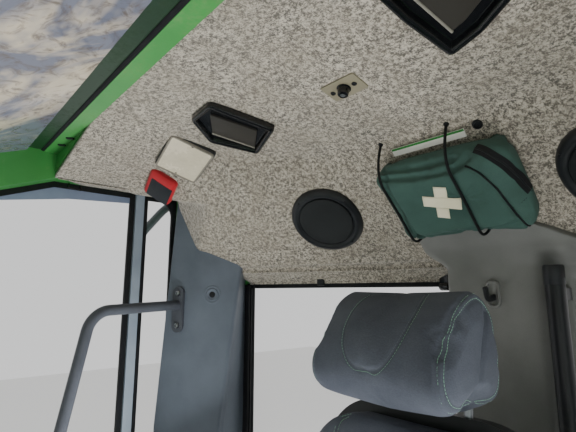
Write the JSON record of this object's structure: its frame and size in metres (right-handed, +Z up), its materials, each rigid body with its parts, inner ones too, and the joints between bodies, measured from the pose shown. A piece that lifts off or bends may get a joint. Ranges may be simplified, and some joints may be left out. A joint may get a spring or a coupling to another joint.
{
  "type": "forestry harvester operator cab",
  "caption": "Hollow operator's cab of a forestry harvester with felt headliner, sloped roof window, hinged door, swivel seat and rubber feet.",
  "frame": {"origin": "on the ground, at the centre of the bolts through the four rubber feet", "axes": "+Z up, the seat looks along -Y, +X to the operator's left, where the door is"},
  "size_m": [1.926, 1.8761, 2.048],
  "materials": {
    "green_paint": "satin green enamel",
    "dark_steel": "black powder coat",
    "rubber": "matte",
    "felt": "mottled needle felt",
    "slate_plastic": "fine grained",
    "grey_plastic": "fine grained",
    "black_plastic": "moulded",
    "black_paint": "satin black",
    "glazing": "clear",
    "seat_fabric": "knitted, charcoal",
    "bag_fabric": "woven, dark green",
    "elastic_cord": "braided",
    "lamp_lens": "clouded lens",
    "red_plastic": "moulded",
    "bright_steel": "plated",
    "card": "blank, satin"
  },
  "bodies": {
    "root": {"air_outlets": "black_plastic", "bag_cords": "elastic_cord", "blank_card": "card", "ceiling_knob_plate": "bright_steel", "coat_hook": "black_plastic", "column_trim": "grey_plastic", "display_arm": "dark_steel", "display_screen": "black_plastic", "dome_light": "lamp_lens", "door_hinge_pins": "dark_steel", "first_aid_bag": "bag_fabric", "floor_frame": "dark_steel", "floor_mat": "rubber", "foot_pedals": "bright_steel", "front_header": "green_paint", "front_lower_panel": "green_paint", "front_pillars": "green_paint", "headliner": "felt", "outer_grab_rails": "dark_steel", "pillar_trims": "slate_plastic", "quarter_glass": "glazing", "rear_column": "green_paint", "rear_glass": "glazing", "rear_grab_tube": "black_paint", "rear_headers": "green_paint", "rear_lower_panels": "green_paint", "rear_pillars": "green_paint", "red_switch_box": "red_plastic", "right_grab_rail": "black_paint", "right_side_glass": "glazing", "roof_cross_bar": "green_paint", "roof_glass": "glazing", "roof_shell": "green_paint", "roof_side_beams": "green_paint", "rubber_feet": "rubber", "seat_pedestal": "black_plastic", "side_lower_panels": "green_paint", "side_posts": "green_paint", "speakers": "black_plastic", "window_seals": "rubber", "windscreen": "glazing", "work_lights": "black_plastic"},
    "door": {"door_frame": "green_paint", "door_glass": "glazing", "door_grab_rail": "black_paint", "door_handle": "black_plastic"},
    "seat": {"seat_turntable": "dark_steel", "seat_frame": "dark_steel", "seat_cushion": "seat_fabric"},
    "backrest": {"backrest_shell": "grey_plastic", "backrest_cushion": "seat_fabric"},
    "headrest": {"headrest": "seat_fabric", "headrest_posts": "bright_steel"},
    "right_arm": {"right_armrest": "black_plastic", "right_joystick_console": "black_plastic"},
    "left_arm": {"left_armrest": "black_plastic", "left_joystick_console": "black_plastic"}
  },
  "joints": [
    {"name": "door_hinge", "type": "hinge", "parent": "root", "child": "door", "pos_m": [0.846, 0.424, 0.86], "axis": [0, 0, 1], "range_deg": [0, 90]},
    {"name": "seat_swivel", "type": "hinge", "parent": "root", "child": "seat", "pos_m": [0.024, 0.15, 0.4], "axis": [0, 0, 1], "range_deg": [-20, 20]},
    {"name": "backrest_recline", "type": "hinge", "parent": "seat", "child": "backrest", "pos_m": [0.024, 0.4, 0.5], "axis": [1, 0, 0], "range_deg": [-6, 12]},
    {"name": "headrest_height", "type": "slide", "parent": "backrest", "child": "headrest", "axis": [0, 0.1392, 0.9903], "range_m": [0, 0.06]},
    {"name": "right_arm_fold", "type": "hinge", "parent": "seat", "child": "right_arm", "pos_m": [-0.276, 0.385, 0.795], "axis": [-1, 0, 0], "range_deg": [0, 60]},
    {"name": "left_arm_fold", "type": "hinge", "parent": "seat", "child": "left_arm", "pos_m": [0.324, 0.385, 0.795], "axis": [-1, 0, 0], "range_deg": [0, 60]}
  ]
}
